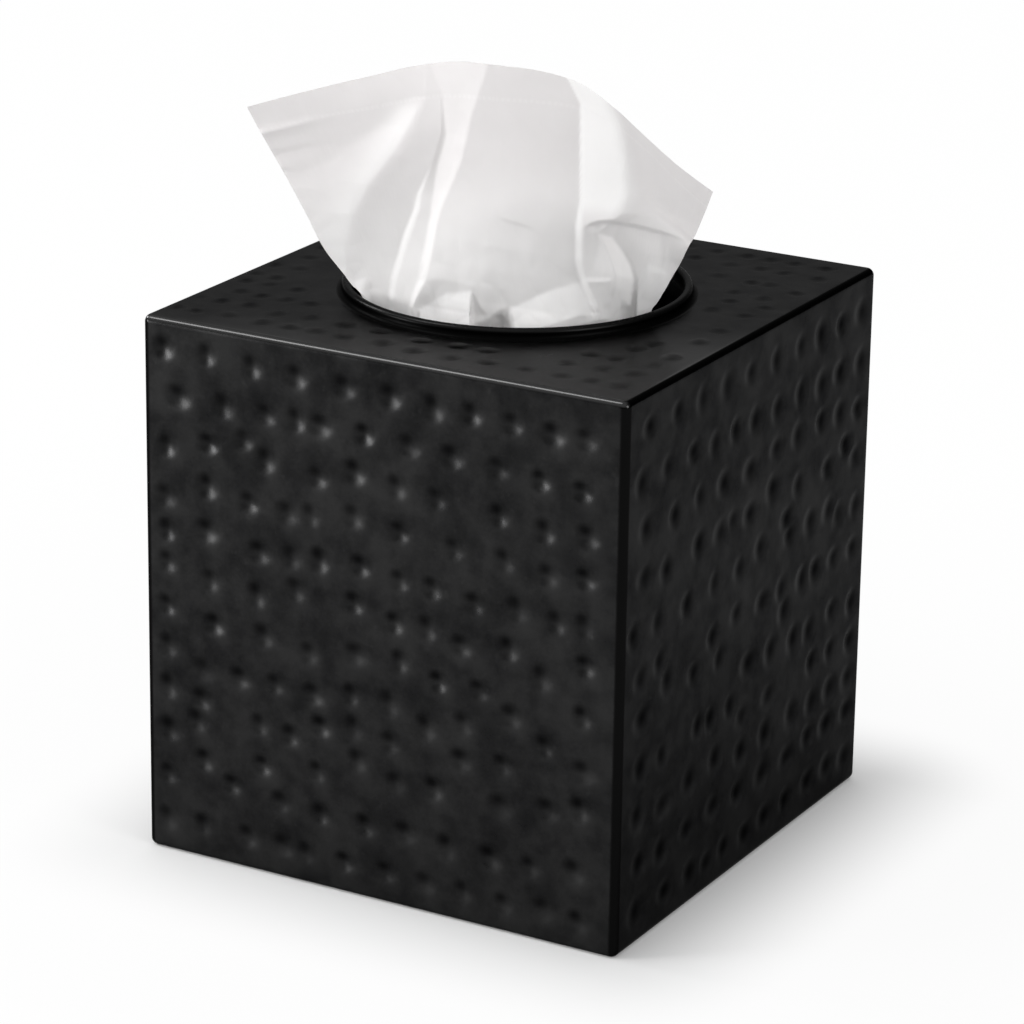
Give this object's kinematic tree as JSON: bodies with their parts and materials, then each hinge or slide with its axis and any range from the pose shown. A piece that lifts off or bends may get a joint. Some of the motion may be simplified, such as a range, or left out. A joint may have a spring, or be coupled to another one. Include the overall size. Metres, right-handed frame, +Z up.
{
  "type": "tissue box cover",
  "caption": "Square hammered metal cover, open below, over a cube carton of tissues, with a round rimmed opening that a raised tissue stands in.",
  "frame": {"origin": "middle of the base, on the surface the cover stands on", "axes": "+X along the front wall to the right, +Y from the front wall to the back wall, +Z up"},
  "size_m": [0.1396, 0.1396, 0.2112],
  "materials": {
    "hammered_paint": "satin black paint over hand-hammered steel sheet",
    "rim_paint": "satin black paint over a smooth raised bead",
    "carton_board": "plain uncoated folding board",
    "film": "thin clear film",
    "tissue_paper": "soft matt two-ply tissue"
  },
  "bodies": {
    "refill": {"carton_walls": "carton_board", "carton_top": "carton_board", "carton_base": "carton_board", "carton_top_flaps": "carton_board", "carton_base_flaps": "carton_board", "dispensing_film": "film", "tissue_clip": "tissue_paper", "next_tissue": "tissue_paper", "tissue_tail": "tissue_paper"},
    "cover": {"front_wall": "hammered_paint", "right_wall": "hammered_paint", "back_wall": "hammered_paint", "left_wall": "hammered_paint", "top_panel": "hammered_paint", "opening_rim": "rim_paint"},
    "tissue": {"raised_tissue": "tissue_paper"}
  },
  "joints": [
    {"name": "cover_lift", "type": "slide", "parent": "refill", "child": "cover", "axis": [0, 0, 1], "range_m": [0, 0.345], "deforming": ["raised_tissue"]},
    {"name": "tissue_draw", "type": "slide", "parent": "refill", "child": "tissue", "axis": [0, 0, 1], "range_m": [0, 0.12], "deforming": ["raised_tissue", "tissue_tail"]}
  ]
}
